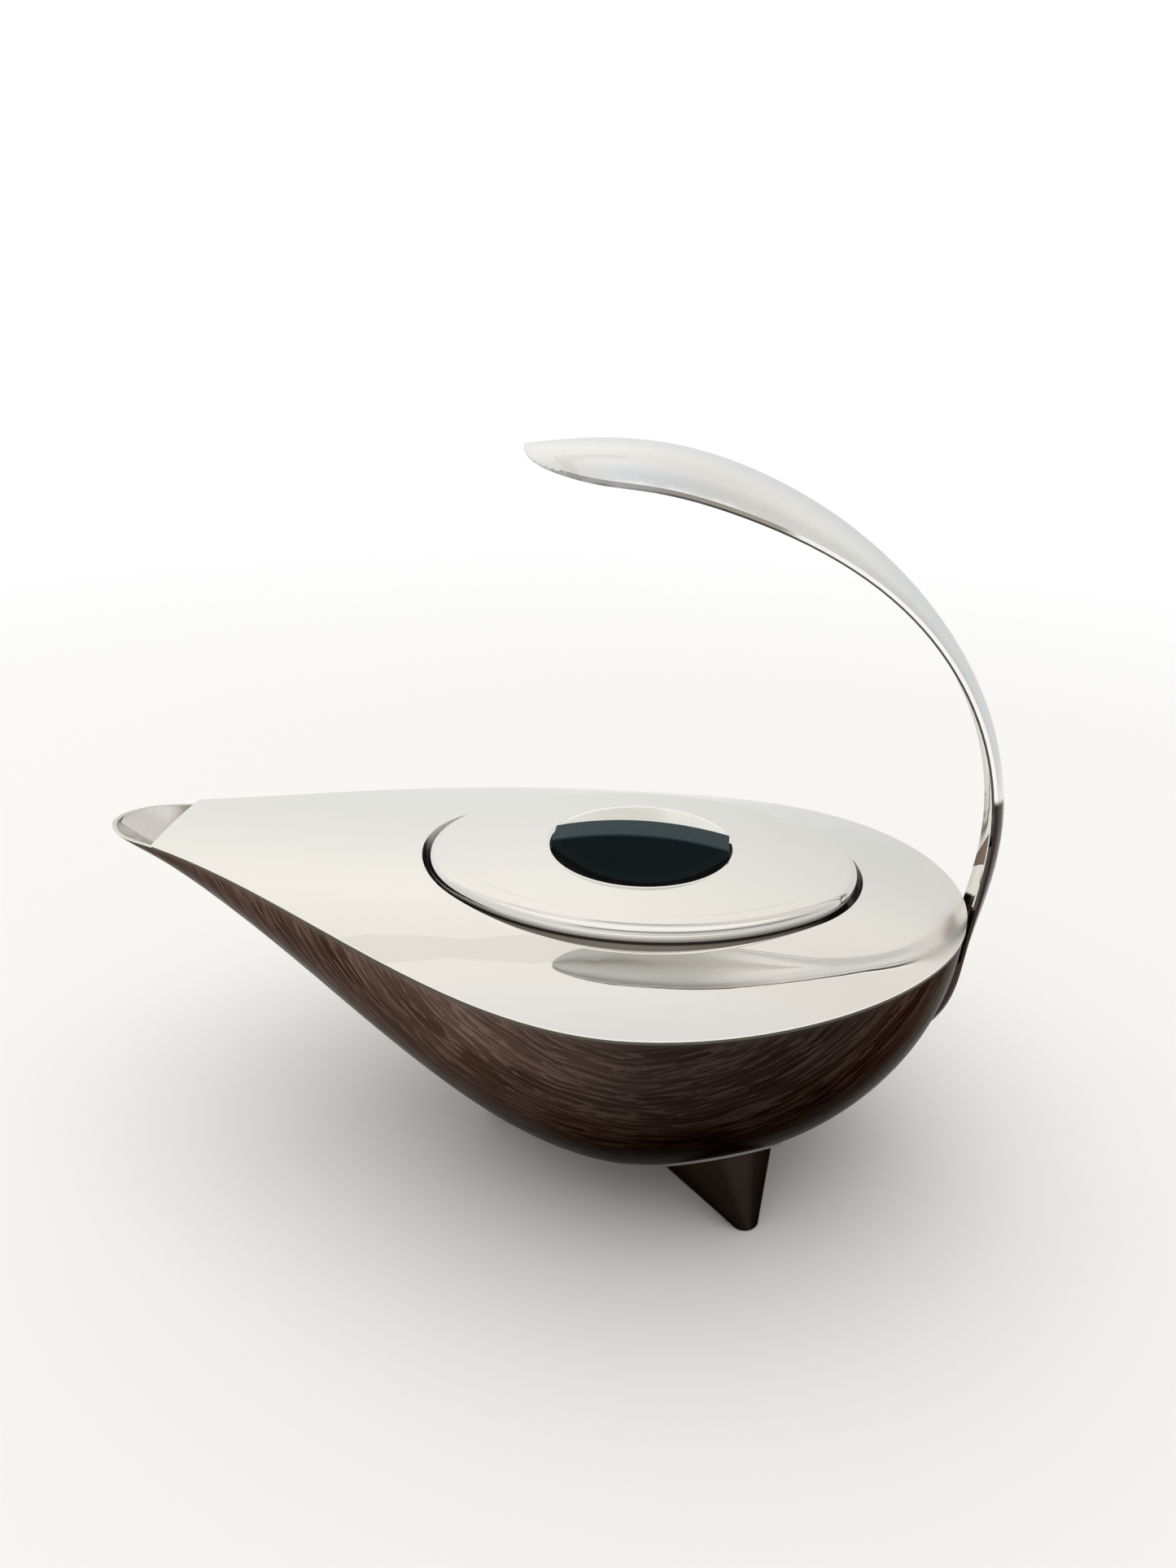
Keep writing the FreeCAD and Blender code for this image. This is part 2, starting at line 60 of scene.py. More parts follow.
# Places taken from the pieces, in metres: along is x, toward the handle, and across is y, to the far side
LIP_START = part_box("deck_plate")[0].x
BEAD_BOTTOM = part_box("lid_bead")[0].z
LEDGE_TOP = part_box("lid_ledge")[1].z

# Lays a vector in the pot's middle plane
MIDDLE_PLANE = (1.0, 0.0, 1.0)

# The deck's upper face: crown height, bend across, rise to the front and fall to the back (height, length)
DECK_CROWN = 0.08839
DECK_BEND = 0.229
DECK_RISE = (0.0025, 0.1494)
DECK_FALL = (0.0072, 0.0863)
DECK_FALL_POWER = 3.0

# Colours, in linear light
BLACK = (0.0, 0.0, 0.0)
WHITE = (1.0, 1.0, 1.0)
SILVER = (0.90, 0.885, 0.845)
HANDLE_SILVER = (0.89, 0.90, 0.895)
# Painted shade on the far half of the lip's inside
LIP_SHADED_SILVER = (0.78, 0.765, 0.73)
# Painted reflection of the wooden table in the lip's far corner
LIP_REFLECTED_BROWN = (0.40, 0.33, 0.28)
# Painted shade in the lid's seat and on the skirt behind its near side
SEAT_SHADE = (0.03, 0.028, 0.026)
# Painted reflections on the lid's bead: its underside, the line along its crease, and a brown band
BEAD_LOW_REFLECTION = (0.86, 0.83, 0.77)
CREASE_REFLECTION_LINE = (0.24, 0.21, 0.18)
BEAD_REFLECTED_BROWN = (0.10, 0.08, 0.065)
# Painted reflection on the skirt, and painted shade just under the bead
SKIRT_REFLECTED_OLIVE = (0.80, 0.74, 0.63)
SKIRT_SHADE_BROWN = (0.10, 0.075, 0.055)
# Painted reflection: dark grey on the plates between hull and feet
PLATE_REFLECTED_GREY = (0.21, 0.195, 0.18)
# Painted shade on the handle's underside, darker toward the tip
UNDERSIDE_SHADE = (0.86, 0.85, 0.83)
UNDERSIDE_TIP_SHADE = (0.60, 0.60, 0.59)
# Painted reflections on the handle's bevels and edges, a painted highlight, and dark brown low down
EDGE_REFLECTED_GREY = (0.10, 0.097, 0.10)
EDGE_REFLECTED_MIDDLE = (0.42, 0.37, 0.32)
EDGE_HIGHLIGHT = (1.0, 0.99, 0.97)
EDGE_REFLECTED_BROWN = (0.045, 0.030, 0.025)
EDGE_TIP_REFLECTION = (0.50, 0.50, 0.50)
# Painted reflection: a brown arch on the handle's inner face
BAND_REFLECTED_BROWN = (0.22, 0.165, 0.145)
# Painted shade: the dark line on the lower part of the deck's cut edge
RIM_SHADE_LINE = (0.10, 0.094, 0.080)
# Painted reflection, paler, just under the hull's rim
RIM_REFLECTED_BROWN = (0.155, 0.118, 0.100)
# Painted highlight on the finger dish's far wall
DISH_HIGHLIGHT = (0.98, 0.96, 0.90)
FIN_BLACK = (0.002, 0.009, 0.012)
# Painted light on the fin: a lighter band just above the dish, a line of shade along it, and a paler top
FIN_FOOT_LIGHT = (0.007, 0.015, 0.018)
FIN_SEAM_SHADE = (0.0, 0.001, 0.001)
FIN_TOP_LIGHT = (0.021, 0.039, 0.043)
STEEL = (0.55, 0.54, 0.52)
# Painted reflection of the table's grain on the hull: its pale hair lines
REFLECTED_STREAK_PALE = (0.27, 0.185, 0.155)
# Painted reflection of a dark table on the feet, and a painted sheen on them
FOOT_REFLECTED_BROWN = (0.021, 0.015, 0.0105)
FOOT_PAINTED_SHEEN = (0.038, 0.027, 0.022)
DARK_EDGE = (0.41, 0.40, 0.39)
FLOOR_PALE = (0.90, 0.895, 0.885)
WINDOW = (1.0, 0.99, 0.97)
# Painted reflection of a dark wooden table on the hull, from darker to paler brown
REFLECTED_BROWN_STOPS = (
    (0.34, (0.053, 0.0320, 0.0250)),
    (0.50, (0.092, 0.0580, 0.0460)),
    (0.66, (0.142, 0.0920, 0.0740)),
)

# Two ways for a share to run over a span
RISING = (0.0, 1.0)
FALLING = (1.0, 0.0)

# Fine grain: its stretch, scale and detail, and the span of the noise that changes the roughness
WIPING = ((0.2, 1.0, 1.0), 120.0, 6.0, (0.35, 0.75))
SATIN_GRAIN = ((0.2, 0.2, 1.0), 900.0, 2.0, (0.3, 0.7))
FOOT_GRAIN = ((1.0, 1.0, 0.3), 80.0, 4.0, (0.3, 0.7))
FIN_GRAIN = ((1.0, 1.0, 1.0), 1500.0, 3.0, (0.3, 0.7))
STEEL_GRAIN = ((1.0, 0.1, 1.0), 1500.0, 3.0, (0.3, 0.7))

# Roughness at the two ends of that span
SHEET_ROUGH = (0.02, 0.11)
DECK_ROUGH = (0.01, 0.05)
DISH_ROUGH = (0.12, 0.22)
PLATE_ROUGH = (0.15, 0.28)
SATIN_ROUGH = (0.35, 0.5)
FOOT_ROUGH = (0.28, 0.4)
FIN_ROUGH = (0.42, 0.55)
STEEL_ROUGH = (0.25, 0.4)
HULL_ROUGH = (0.22, 0.36)

# What is left of the metal's mirror where a silver surface is satin or matt
SATIN_METALLIC = 0.2
MATT_METALLIC = 0.0

# Slow waves of a sheet raised by hand: their height in metres, their scale, and the detail of plain noise
SHEET_WAVE = 0.00006
DECK_WAVE = 0.00022
WAVE_SCALE = 22.0
PLAIN_DETAIL = 1.0

# A face whose normal rises less than this is upright
UPRIGHT = 0.3

# Deck: extra arch on the near side, bright part of its cut edge above its painted shade line, and the softer
# end by the handle
DECK_EXTRA_ARCH = 0.85
DECK_BRIGHT_EDGE = 0.00045
DECK_SOFT_ALONG = (0.090, 0.110)
DECK_SOFT_ROUGH = (0.0, 0.24)

# Bead: where the painted reflection line at its crease lies, how strong it is, and the rise below which the
# bead is painted dull, and then brown, as reflections
CREASE_RISE = (0.40, 0.52)
CREASE_ACROSS = (-0.032, -0.022)
CREASE_SHARE = (0.75, 0.0)
CREASE_ALONG = (0.010, 0.020)
BEAD_DULL_RISE = -0.02
BEAD_BROWN_RISE = -0.60

# Skirt: the height at which it turns to a brown painted shade, and the skewed line across the pot behind
# which it has dark painted shade
SKIRT_BROWN_HEIGHT = (BEAD_BOTTOM - 0.0010, BEAD_BOTTOM - 0.0005)
SKIRT_SKEW = -0.12
SKIRT_DARK_ACROSS = (-0.034, -0.024)

# Dish: where its far wall turns satin and is painted brighter as a highlight
DISH_FAR_ACROSS = (0.009, 0.014)

# Seat of the lid: its lowest part, its walls, the line beyond which they have no painted shade, and its
# sheen
SEAT_LOW = LEDGE_TOP + 0.0002
SEAT_WALL_RISE = 0.5
SEAT_NEAR_ACROSS = (-0.002, 0.006)
SEAT_SPECULAR = 0.1

# Handle: the middle of its bow, and the height below which its outer side and edges are painted dark brown
# as a reflection
BOW_MIDDLE = Vector((0.020, 0.0, 0.103))
BOW_DARK_HEIGHT = (0.111, 0.113)

# Handle: its facets, told apart by how far they face sideways, and away from the bow's middle
SIDE_FACING = 0.3
BEVEL_FACING = -0.4
INNER_FACING = -0.3
OUTER_FACING = 0.2
LOW_EDGE_FACING = 0.25

# Handle: along it, the painted shade under its tip, the tip's painted reflection flecks and the painted
# highlight on its edge
UNDERSIDE_TIP_ALONG = (0.040, 0.080)
UNDERSIDE_TIP_ROUGH = 0.3
EDGE_TIP_ALONG = (0.022, 0.050)
EDGE_BRIGHT_ALONG = (0.058, 0.064)
FLECK_STRETCH = (1.0, 0.2, 1.0)
FLECK_SCALE = 150.0
FLECK_DETAIL = 3.0
FLECK_SPAN = (0.4, 0.6)
FLECK_SHARE = (0.3, 1.0)

# Handle: the brown arch of painted reflection on its inner face, between two curves (bend across, height in
# the middle)
BAND_TOP = (-480.0, 0.1020)
BAND_BOTTOM = (-120.0, 0.0915)
BAND_SIDE_FACING = 0.25

# Hull: its dark brown is a painted reflection of a dark wooden table, streaked like the table's grain
# Hull: its streaks run in swaying arcs about a point above the lid (scales across and along the arcs)
STREAK_MIDDLE = Vector((0.032, 0.0, 0.125))
BROAD_STREAKS = (80.0, 1.2)
FINE_STREAKS = (1000.0, 4.0)
HAIR_STREAKS = (560.0, 3.2)
STREAK_DETAIL = 3.0
SWAY_SCALE = 40.0
SWAY = 0.004
FINE_SPAN = (0.3, 0.7)

# Hull: pale hair lines of the painted reflection, where a noise crosses a level
HAIR_LEVEL = 0.5
HAIR_WIDTH = (0.01, 0.05)
HAIR_SHARE = (0.55, 0.0)

# Hull: a paler painted reflection just under the rim, and painted shade by the distance from the bowl's
# middle and by the height
RIM_DEPTH = (0.0012, 0.0040)
RIM_SHARE = (0.7, 0.0)
FRONT_ALONG = (-0.05, 0.02)
FRONT_SHADE = (1.0, 0.25)
BACK_ALONG = (0.045, 0.075)
BACK_SHADE = (0.0, 0.16)
LOW_HEIGHT = (0.018, 0.060)
LOW_SHADE = (0.30, 1.0)

# Hull: silver on top of the rim and inside; the lip's inside is rougher, painted darker on its far half as
# shade, with a brown painted reflection in the far corner
RIM_TOP_RISE = 0.4
LIP_END = LIP_START + 0.004
LIP_SILVER_ACROSS = (-0.006, 0.002)
CORNER_ALONG = (-0.111, -0.106)
CORNER_SHARE = (0.0, 0.85)
CORNER_ACROSS = (0.001, 0.005)
SILVER_SMOOTHER = -0.15
LIP_ROUGHER = 0.25

# Foot: the direction of its painted sheen, and how closely a face has to look that way
FOOT_LIGHT = (0.33, -0.944, -0.03)
FOOT_SHEEN_SPAN = (0.975, 1.0)

# Fin: its sheen, its top painted paler as light, and the zones just above the dish: a band painted lighter
# and a line of painted shade
FIN_SPECULAR = 0.12
FIN_TOP_RISE = (0.3, 0.7)
FIN_FOOT_ABOVE = (0.0010, 0.0040)
FIN_SEAM_ABOVE = (0.0005, 0.0008)

# Floor: half its side, its roughness, and the distance over which it fades
FLOOR_HALF = 2.0
FLOOR_ROUGH = 0.9
FLOOR_FADE = (0.25, 0.9)

# The room that the metal mirrors: colour by height, shade by side, a thin darker band, a window, strength
SKY_STOPS = (
    (0.05, (0.83, 0.835, 0.83)),
    (0.14, (0.82, 0.83, 0.825)),
    (0.35, (0.86, 0.865, 0.86)),
    (0.50, (0.92, 0.905, 0.885)),
    (0.62, (0.96, 0.945, 0.905)),
    (0.72, (0.98, 0.96, 0.915)),
    (0.84, (0.94, 0.915, 0.87)),
    (0.92, (0.93, 0.905, 0.865)),
    (1.00, (0.905, 0.912, 0.925)),
)
ROOM_SIDE = (-0.25, 0.35)
ROOM_SIDE_SHADE = (1.0, 0.86)
ROOM_AHEAD = (0.0, 0.35)
ROOM_AHEAD_SHADE = (0.86, 1.0)
SKY_BAND_FROM = (0.855, 0.859)
SKY_BAND_TO = (0.903, 0.907)
SKY_BAND_SIDE = (-0.07, -0.03)
SKY_BAND_SHARE = (0.09, 0.0)
WINDOW_AHEAD = (-0.16, -0.06)
WINDOW_UP = (0.55, 0.75)
ROOM_STRENGTH = (0.85, 1.0)

# Overhead softbox, square
LAMP_PLACE = Vector((-0.15, -0.2, 1.8))
LAMP_AIM = Vector((0.0, 0.0, 0.0))
LAMP_SIDE = 2.4
LAMP_POWER = 18.0


def material(name):
    """A new material, its node tree and its shader."""
    made = bpy.data.materials.new(name)
    made.use_nodes = True
    tree = made.node_tree
    return made, tree, tree.nodes["Principled BSDF"]


def solid(colour):
    """A colour with full alpha."""
    return (*colour, 1.0)


def metal(name, colour):
    """A new metal of one colour."""
    made, tree, shader = material(name)
    shader.inputs["Metallic"].default_value = 1.0
    shader.inputs["Base Color"].default_value = solid(colour)
    return made, tree, shader


def add(tree, kind, **settings):
    node = tree.nodes.new(kind)
    for key, value in settings.items():
        setattr(node, key, value)
    return node


def feed(tree, socket, value):
    """Joins a socket to another node's output, or sets it to a plain value."""
    if isinstance(value, bpy.types.NodeSocket):
        tree.links.new(value, socket)
    else:
        socket.default_value = value


def math_node(tree, operation, first, second=0.0, third=0.0):
    node = add(tree, "ShaderNodeMath", operation=operation)
    for socket, value in zip(node.inputs, (first, second, third)):
        feed(tree, socket, value)
    return node.outputs[0]


def vector_node(tree, operation, first, second=(0.0, 0.0, 0.0)):
    node = add(tree, "ShaderNodeVectorMath", operation=operation)
    feed(tree, node.inputs[0], first)
    feed(tree, node.inputs[1], second)
    return node.outputs["Value" if operation in ("DOT_PRODUCT", "LENGTH") else "Vector"]


def split(tree, vector):
    node = add(tree, "ShaderNodeSeparateXYZ")
    feed(tree, node.inputs[0], vector)
    return node.outputs


def join(tree, x, y, z):
    node = add(tree, "ShaderNodeCombineXYZ")
    for socket, value in zip(node.inputs, (x, y, z)):
        feed(tree, socket, value)
    return node.outputs[0]


def spread(tree, value, span, result=RISING):
    """A span of a value, laid smoothly on another span."""
    node = add(tree, "ShaderNodeMapRange", interpolation_type="SMOOTHSTEP")
    for end, bound, goal in zip(("Min", "Max"), span, result):
        node.inputs["From " + end].default_value = bound
        node.inputs["To " + end].default_value = goal
    feed(tree, node.inputs["Value"], value)
    return node.outputs["Result"]


def ramp(tree, value, stops):
    node = add(tree, "ShaderNodeValToRGB")
    points = node.color_ramp.elements
    while len(points) < len(stops):
        points.new(1.0)
    for point, (position, colour) in zip(points, stops):
        point.position = position
        point.color = solid(colour)
    feed(tree, node.inputs["Fac"], value)
    return node.outputs["Color"]


def blend(tree, share, first, second):
    node = add(tree, "ShaderNodeMix", data_type="RGBA")
    feed(tree, node.inputs["Factor"], share)
    feed(tree, node.inputs["A"], first)
    feed(tree, node.inputs["B"], second)
    return node.outputs["Result"]


def noise(tree, vector, scale, detail):
    node = add(tree, "ShaderNodeTexNoise")
    feed(tree, node.inputs["Vector"], vector)
    node.inputs["Scale"].default_value = scale
    node.inputs["Detail"].default_value = detail
    return node.outputs["Fac"]


def place(tree):
    """A point's place in the frame, with the part at rest."""
    return add(tree, "ShaderNodeTexCoord").outputs["Object"]


def facing(tree):
    """The surface's direction, waves left out."""
    return add(tree, "ShaderNodeNewGeometry").outputs["Normal"]


def facing_up(tree):
    return split(tree, facing(tree))[2]


def over(tree, value, limit):
    return math_node(tree, "GREATER_THAN", value, limit)


def under(tree, value, limit):
    return math_node(tree, "LESS_THAN", value, limit)


def both(tree, first, second):
    return math_node(tree, "MULTIPLY", first, second)


def either(tree, first, second):
    return math_node(tree, "MAXIMUM", first, second)


def paint(tree, shader, share, colour):
    """Lays a colour over the shader's base colour where share is 1."""
    socket = shader.inputs["Base Color"]
    ground = socket.links[0].from_socket if socket.is_linked else tuple(socket.default_value)
    tree.links.new(blend(tree, share, ground, solid(colour)), socket)


def roughen(tree, shader, extra):
    """Adds to the shader's roughness."""
    socket = shader.inputs["Roughness"]
    tree.links.new(math_node(tree, "ADD", socket.links[0].from_socket, extra), socket)


def dull(tree, shader, share, left):
    """Lowers the shader's metal from 1 to what is left of it where share is 1."""
    tree.links.new(math_node(tree, "MULTIPLY_ADD", share, left - 1.0, 1.0), shader.inputs["Metallic"])


def grained(tree, shader, grain, rough):
    """Lets the shader's roughness vary with a fine grain."""
    stretch, scale, detail, span = grain
    marks = noise(tree, vector_node(tree, "MULTIPLY", place(tree), stretch), scale, detail)
    tree.links.new(spread(tree, marks, span, rough), shader.inputs["Roughness"])


def relief(tree, shader, height):
    """Bends the shader's normal by a height in metres."""
    bump = add(tree, "ShaderNodeBump")
    bump.inputs["Distance"].default_value = 1.0
    feed(tree, bump.inputs["Height"], height)
    tree.links.new(bump.outputs["Normal"], shader.inputs["Normal"])


def below_deck(tree, where):
    """Depth of a point under the level of the deck's upper face."""
    along, across, height = split(tree, where)
    along = math_node(tree, "SUBTRACT", along, BOWL_MIDDLE.x)
    ahead = math_node(tree, "DIVIDE", math_node(tree, "MINIMUM", along, 0.0), DECK_RISE[1])
    behind = math_node(tree, "DIVIDE", math_node(tree, "MAXIMUM", along, 0.0), DECK_FALL[1])
    fall = math_node(tree, "POWER", behind, DECK_FALL_POWER)
    level = math_node(tree, "MULTIPLY_ADD", both(tree, ahead, ahead), DECK_RISE[0], DECK_CROWN - DECK_BEND)
    level = math_node(tree, "MULTIPLY_ADD", fall, -DECK_FALL[0], level)
    arc = math_node(tree, "SUBTRACT", DECK_BEND ** 2, both(tree, across, across))
    level = math_node(tree, "ADD", level, math_node(tree, "SQRT", arc))
    return math_node(tree, "SUBTRACT", level, height)


def polished_silver(name, rough=SHEET_ROUGH, wave=SHEET_WAVE, near_arch=0.0):
    """Mirror silver: faint wiping marks, and the slow waves of a sheet raised by hand."""
    made, tree, shader = metal(name, SILVER)
    grained(tree, shader, WIPING, rough)
    where = place(tree)
    height = math_node(tree, "MULTIPLY", noise(tree, where, WAVE_SCALE, PLAIN_DETAIL), wave)
    near = math_node(tree, "MINIMUM", split(tree, where)[1], 0.0)
    fall = math_node(tree, "MULTIPLY", both(tree, near, near), -near_arch)
    relief(tree, shader, math_node(tree, "ADD", height, fall))
    return made, tree, shader


def deck_silver(name):
    """Polished sheet, softer by the handle, whose cut edge is bright above and has a painted shade line
    below.
    """
    made, tree, shader = polished_silver(name, DECK_ROUGH, DECK_WAVE, DECK_EXTRA_ARCH)
    where = place(tree)
    cut = under(tree, facing_up(tree), UPRIGHT)
    low = over(tree, below_deck(tree, where), DECK_BRIGHT_EDGE)
    # Painted shade line on the lower part of the cut edge
    paint(tree, shader, both(tree, cut, low), RIM_SHADE_LINE)
    roughen(tree, shader, spread(tree, split(tree, where)[0], DECK_SOFT_ALONG, DECK_SOFT_ROUGH))
    return made


def bead_silver(name):
    """Rolled edge of the lid: a fine line of painted reflection along its crease on top, bright outside, and
    painted dull and then brown as reflections where it turns under.
    """
    made, tree, shader = polished_silver(name)
    rise = facing_up(tree)
    along, across = split(tree, place(tree))[0:2]
    crease = both(tree, over(tree, rise, CREASE_RISE[0]), under(tree, rise, CREASE_RISE[1]))
    crease = both(tree, crease, spread(tree, across, CREASE_ACROSS, CREASE_SHARE))
    crease = both(tree, crease, spread(tree, along, CREASE_ALONG))
    low = under(tree, rise, BEAD_DULL_RISE)
    # Painted reflections: a dark line at the crease, a pale dull underside, and a brown band lowest
    paint(tree, shader, crease, CREASE_REFLECTION_LINE)
    paint(tree, shader, low, BEAD_LOW_REFLECTION)
    paint(tree, shader, under(tree, rise, BEAD_BROWN_RISE), BEAD_REFLECTED_BROWN)
    dull(tree, shader, low, SATIN_METALLIC)
    return made


def skirt_satin(name):
    """Satin wall under the bead with a painted pale olive reflection on the near side, painted brown shade
    just under the bead, and painted dark shade elsewhere.
    """
    made, tree, shader = material(name)
    # The pale olive is a painted reflection
    shader.inputs["Base Color"].default_value = solid(SKIRT_REFLECTED_OLIVE)
    along, across, height = split(tree, place(tree))
    apart = math_node(tree, "ABSOLUTE", math_node(tree, "SUBTRACT", along, BOWL_MIDDLE.x))
    skewed = math_node(tree, "MULTIPLY_ADD", apart, SKIRT_SKEW, across)
    # Painted shade: brown just under the bead, and dark behind a skewed line across the pot
    paint(tree, shader, spread(tree, height, SKIRT_BROWN_HEIGHT), SKIRT_SHADE_BROWN)
    paint(tree, shader, spread(tree, skewed, SKIRT_DARK_ACROSS), SEAT_SHADE)
    grained(tree, shader, SATIN_GRAIN, SATIN_ROUGH)
    return made


def dish_silver(name):
    """Spun dish: a soft mirror below the fin, satin and painted brighter as a highlight on the wall that
    rises behind it.
    """
    made, tree, shader = polished_silver(name, DISH_ROUGH)
    far = spread(tree, split(tree, place(tree))[1], DISH_FAR_ACROSS)
    # Painted highlight on the far wall
    paint(tree, shader, far, DISH_HIGHLIGHT)
    dull(tree, shader, far, SATIN_METALLIC)
    return made


def seat_silver(name):
    """Polished on its top edge, matt down in the lid's seat, with painted shade at its lowest part and on
    its walls on the near side.
    """
    made, tree, shader = polished_silver(name)
    shader.inputs["Specular IOR Level"].default_value = SEAT_SPECULAR
    across, height = split(tree, place(tree))[1:3]
    low = under(tree, height, SEAT_LOW)
    wall = under(tree, facing_up(tree), SEAT_WALL_RISE)
    near = spread(tree, across, SEAT_NEAR_ACROSS, FALLING)
    # Painted shade in the recess
    paint(tree, shader, either(tree, low, both(tree, wall, near)), SEAT_SHADE)
    dull(tree, shader, either(tree, low, wall), MATT_METALLIC)
    return made


def curve(tree, across, shape):
    """Height of a curve across the handle."""
    return math_node(tree, "MULTIPLY_ADD", both(tree, across, across), *shape)


def handle_silver(name):
    """Polished strip with painted light: shade under it toward the tip, reflections on bevels and edges,
    flecked by the tip, a highlight further on, a brown arch inside and dark brown by the root.
    """
    made, tree, shader = polished_silver(name)
    shader.inputs["Base Color"].default_value = solid(HANDLE_SILVER)
    where = place(tree)
    normal = facing(tree)
    along, across, height = split(tree, where)
    offset = vector_node(tree, "SUBTRACT", where, tuple(BOW_MIDDLE))
    away = vector_node(tree, "NORMALIZE", vector_node(tree, "MULTIPLY", offset, MIDDLE_PLANE))
    outward = vector_node(tree, "DOT_PRODUCT", normal, away)
    side = both(tree, split(tree, normal)[1], math_node(tree, "SIGN", across))
    low = spread(tree, height, BOW_DARK_HEIGHT, FALLING)

    # Painted shade on the inner faces, darker toward the tip
    inner = under(tree, outward, INNER_FACING)
    inner_tip = both(tree, inner, spread(tree, along, UNDERSIDE_TIP_ALONG, FALLING))
    paint(tree, shader, inner, UNDERSIDE_SHADE)
    paint(tree, shader, inner_tip, UNDERSIDE_TIP_SHADE)
    roughen(tree, shader, math_node(tree, "MULTIPLY", inner_tip, UNDERSIDE_TIP_ROUGH))

    # Painted reflections on the bevels and edges: grey, flecked by the tip, a painted highlight further
    # along, brown low down
    sideways = over(tree, side, SIDE_FACING)
    bevel = both(tree, sideways, under(tree, outward, BEVEL_FACING))
    edge = both(tree, sideways, under(tree, outward, math_node(tree, "MULTIPLY", low, LOW_EDGE_FACING)))
    edge = both(tree, edge, over(tree, outward, BEVEL_FACING))
    stretched = vector_node(tree, "MULTIPLY", where, FLECK_STRETCH)
    reflected_flecks = spread(tree, noise(tree, stretched, FLECK_SCALE, FLECK_DETAIL), FLECK_SPAN, FLECK_SHARE)
    tip = both(tree, spread(tree, along, EDGE_TIP_ALONG, FALLING), reflected_flecks)
    paint(tree, shader, bevel, EDGE_REFLECTED_GREY)
    paint(tree, shader, edge, EDGE_REFLECTED_MIDDLE)
    paint(tree, shader, both(tree, either(tree, edge, bevel), tip), EDGE_TIP_REFLECTION)
    paint(tree, shader, both(tree, edge, spread(tree, along, EDGE_BRIGHT_ALONG)), EDGE_HIGHLIGHT)
    paint(tree, shader, both(tree, edge, low), EDGE_REFLECTED_BROWN)
    paint(tree, shader, both(tree, over(tree, outward, OUTER_FACING), low), EDGE_REFLECTED_BROWN)

    # Painted reflection: a brown arch on the inner face
    band = under(tree, height, curve(tree, across, BAND_TOP))
    band = both(tree, band, over(tree, height, curve(tree, across, BAND_BOTTOM)))
    band = both(tree, band, under(tree, side, BAND_SIDE_FACING))
    paint(tree, shader, both(tree, inner, band), BAND_REFLECTED_BROWN)
    return made


def streaks(tree, where, scales):
    """Noise drawn out along gently swaying arcs; its third coordinate sets one layer apart from the next."""
    across_scale, along_scale = scales
    offset = vector_node(tree, "SUBTRACT", where, tuple(STREAK_MIDDLE))
    offset = vector_node(tree, "MULTIPLY", offset, MIDDLE_PLANE)
    along, _, height = split(tree, offset)
    sway = noise(tree, where, SWAY_SCALE, PLAIN_DETAIL)
    ring = math_node(tree, "MULTIPLY_ADD", sway, SWAY, vector_node(tree, "LENGTH", offset))
    turn = math_node(tree, "ARCTAN2", along, math_node(tree, "MULTIPLY", height, -1.0))
    ring = math_node(tree, "MULTIPLY", ring, across_scale)
    turn = math_node(tree, "MULTIPLY", turn, along_scale)
    return noise(tree, join(tree, ring, turn, across_scale), 1.0, STREAK_DETAIL)


